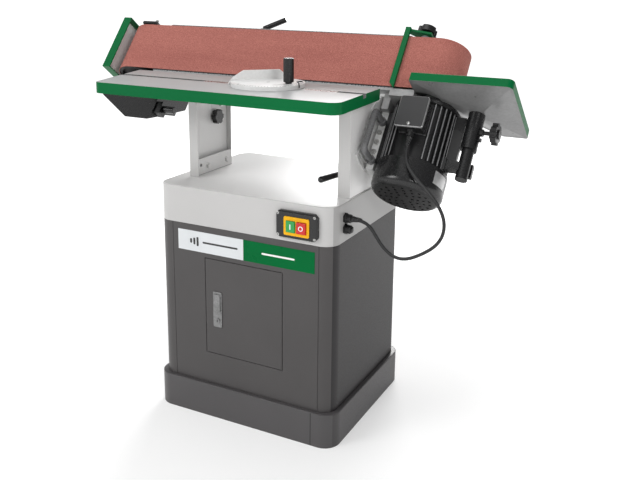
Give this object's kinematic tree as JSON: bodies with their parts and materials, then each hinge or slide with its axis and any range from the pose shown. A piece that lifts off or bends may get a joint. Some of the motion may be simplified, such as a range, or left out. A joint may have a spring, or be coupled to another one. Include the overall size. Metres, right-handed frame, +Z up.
{
  "type": "edge belt sander",
  "caption": "Edge belt sander on a cabinet stand: tilting belt head with motor, main table with mitre gauge, rounded end table, guard, dust hood and switch.",
  "frame": {"origin": "centre of the plinth's flat bottom face, on the floor", "axes": "+X to the operator's right along the sanding belt, +Y to the back, +Z up"},
  "size_m": [1.242, 0.5613, 1.0235],
  "materials": {
    "dark_grey_paint": "textured powder coat",
    "light_grey_paint": "semi-matt paint",
    "green_paint": "semi-gloss paint",
    "ground_iron": "ground top with painted edge",
    "silver_paint": "silver enamel",
    "black_plastic": "fine grain",
    "yellow_plastic": "gloss",
    "green_button": "gloss",
    "red_button": "gloss",
    "badge_film": "printed film",
    "bright_steel": "zinc plated",
    "cast_alu": "machined casting",
    "black_enamel": "satin black",
    "rotor_steel": "turned",
    "stator_core": "laminated and varnished",
    "fan_plastic": "moulded",
    "drum_rubber": "matt",
    "graphite_pad": "graphite cloth",
    "abrasive_belt": "coated abrasive",
    "cable_sheath": "matt"
  },
  "bodies": {
    "stand": {"plinth": "dark_grey_paint", "cabinet_shell": "dark_grey_paint", "front_panel": "dark_grey_paint", "cabinet_cap": "light_grey_paint", "switch_box": "black_plastic", "switch_plate": "yellow_plastic", "cable_glands": "black_plastic", "badge": "badge_film", "left_upright": "silver_paint", "right_upright": "silver_paint", "upright_brackets": "silver_paint", "upright_bolts": "bright_steel", "pivot_studs": "bright_steel", "main_table": "ground_iron"},
    "door": {"door": "dark_grey_paint", "latch_plate": "bright_steel"},
    "latch": {"latch_core": "bright_steel"},
    "start": {"start_button": "green_button"},
    "stop": {"stop_button": "red_button"},
    "lock": {"lock_lever": "black_plastic"},
    "left_lock": {"left_lock_knob": "black_plastic"},
    "gauge_bar": {"mitre_bar": "bright_steel"},
    "gauge_head": {"mitre_head": "cast_alu", "mitre_fence": "cast_alu"},
    "gauge_handle": {"mitre_handle": "black_plastic"},
    "belt_head": {"head_frame": "silver_paint", "platen": "bright_steel", "platen_pad": "graphite_pad", "sanding_belt": "abrasive_belt", "rear_cover": "silver_paint", "trunnions": "silver_paint", "motor_plate": "black_enamel", "motor_housing": "black_enamel", "end_shield": "black_enamel", "motor_stator": "stator_core", "fan_cover": "black_enamel", "terminal_box": "black_enamel", "terminal_lid": "black_enamel", "motor_gland": "black_plastic", "end_guard": "green_paint", "dust_hood": "black_enamel", "tilt_handle": "black_enamel", "end_post": "black_enamel", "head_bolts": "bright_steel", "motor_cable": "cable_sheath"},
    "spindle": {"motor_rotor": "rotor_steel", "drive_drum": "cast_alu", "motor_fan": "fan_plastic"},
    "idler_carriage": {"idler_yoke": "black_enamel", "idler_axle": "bright_steel", "tracking_screw": "bright_steel"},
    "idler": {"idler_drum": "drum_rubber"},
    "tension": {"tension_lever": "bright_steel", "tension_grip": "black_plastic"},
    "hood_screw": {"hood_knob": "black_plastic"},
    "side_table": {"end_table": "ground_iron", "post_sleeve": "black_enamel"},
    "side_clamp": {"clamp_knob": "black_plastic"},
    "stop_arm": {"work_stop": "green_paint"},
    "stop_clamp": {"stop_knob": "black_plastic"}
  },
  "joints": [
    {"name": "head_tilt", "type": "hinge", "parent": "stand", "child": "belt_head", "pos_m": [0, 0.029, 0.799], "axis": [1, 0, 0], "range_deg": [-6.5, 38.5]},
    {"name": "door_hinge", "type": "hinge", "parent": "stand", "child": "door", "pos_m": [0.1155, -0.21, 0.3], "axis": [0, 0, 1], "range_deg": [0, 105]},
    {"name": "latch_turn", "type": "hinge", "parent": "door", "child": "latch", "pos_m": [-0.072, -0.212, 0.272], "axis": [0, 1, 0], "range_deg": [0, 90]},
    {"name": "start_press", "type": "slide", "parent": "stand", "child": "start", "axis": [0, 1, 0], "range_m": [0, 0.003], "stiffness_N_per_m": 800, "springref_m": -0.002},
    {"name": "stop_press", "type": "slide", "parent": "stand", "child": "stop", "axis": [0, 1, 0], "range_m": [0, 0.003], "stiffness_N_per_m": 800, "springref_m": -0.002},
    {"name": "lock_turn", "type": "hinge", "parent": "stand", "child": "lock", "pos_m": [0.225, -0.00047, 0.67136], "axis": [1, 0, 0], "range_deg": [-60, 0]},
    {"name": "left_lock_turn", "type": "hinge", "parent": "stand", "child": "left_lock", "pos_m": [-0.205, -0.00484, 0.76219], "axis": [1, 0, 0], "range_deg": [-90, 90]},
    {"name": "gauge_slide", "type": "slide", "parent": "stand", "child": "gauge_bar", "axis": [1, 0, 0], "range_m": [-0.24, 0.15]},
    {"name": "gauge_angle", "type": "hinge", "parent": "gauge_bar", "child": "gauge_head", "pos_m": [0.021, -0.113, 0.88], "axis": [0, 0, 1], "range_deg": [-40, 40]},
    {"name": "gauge_lock", "type": "hinge", "parent": "gauge_bar", "child": "gauge_handle", "pos_m": [0.079, -0.113, 0.9], "axis": [0, 0, 1], "range_deg": [-180, 180]},
    {"name": "drive_spin", "type": "hinge", "parent": "belt_head", "child": "spindle", "pos_m": [0.372, 0.05561, 0.77784], "axis": [0, 0.6225, 0.7826], "continuous": true},
    {"name": "take_up", "type": "slide", "parent": "belt_head", "child": "idler_carriage", "axis": [1, 0, 0], "range_m": [0, 0.008]},
    {"name": "idler_spin", "type": "hinge", "parent": "idler_carriage", "child": "idler", "pos_m": [-0.548, 0.14276, 0.8874], "axis": [0, 0.6225, 0.7826], "continuous": true},
    {"name": "tension_release", "type": "hinge", "parent": "belt_head", "child": "tension", "pos_m": [-0.235, 0.20501, 0.96566], "axis": [0, -0.7826, 0.6225], "range_deg": [0, 40]},
    {"name": "hood_screw_turn", "type": "hinge", "parent": "belt_head", "child": "hood_screw", "pos_m": [-0.38, -0.00277, 0.76549], "axis": [1, 0, 0], "range_deg": [-180, 180]},
    {"name": "side_table_height", "type": "slide", "parent": "belt_head", "child": "side_table", "axis": [0, 0.6225, 0.7826], "range_m": [0, 0.06]},
    {"name": "side_clamp_turn", "type": "hinge", "parent": "side_table", "child": "side_clamp", "pos_m": [0.54, 0.03905, 0.77951], "axis": [1, 0, 0], "range_deg": [-180, 180]},
    {"name": "stop_swing", "type": "hinge", "parent": "belt_head", "child": "stop_arm", "pos_m": [0.324, 0.17449, 0.98994], "axis": [0, 0.6225, 0.7826], "range_deg": [0, 45]},
    {"name": "stop_clamp_turn", "type": "hinge", "parent": "belt_head", "child": "stop_clamp", "pos_m": [0.324, 0.18072, 0.99777], "axis": [0, 0.6225, 0.7826], "range_deg": [-180, 180]}
  ],
  "couplings": [
    {"joint": "idler_spin", "follows": "drive_spin", "ratio": 1},
    {"joint": "tension_release", "follows": "take_up", "rad_per_m": 87.266}
  ]
}
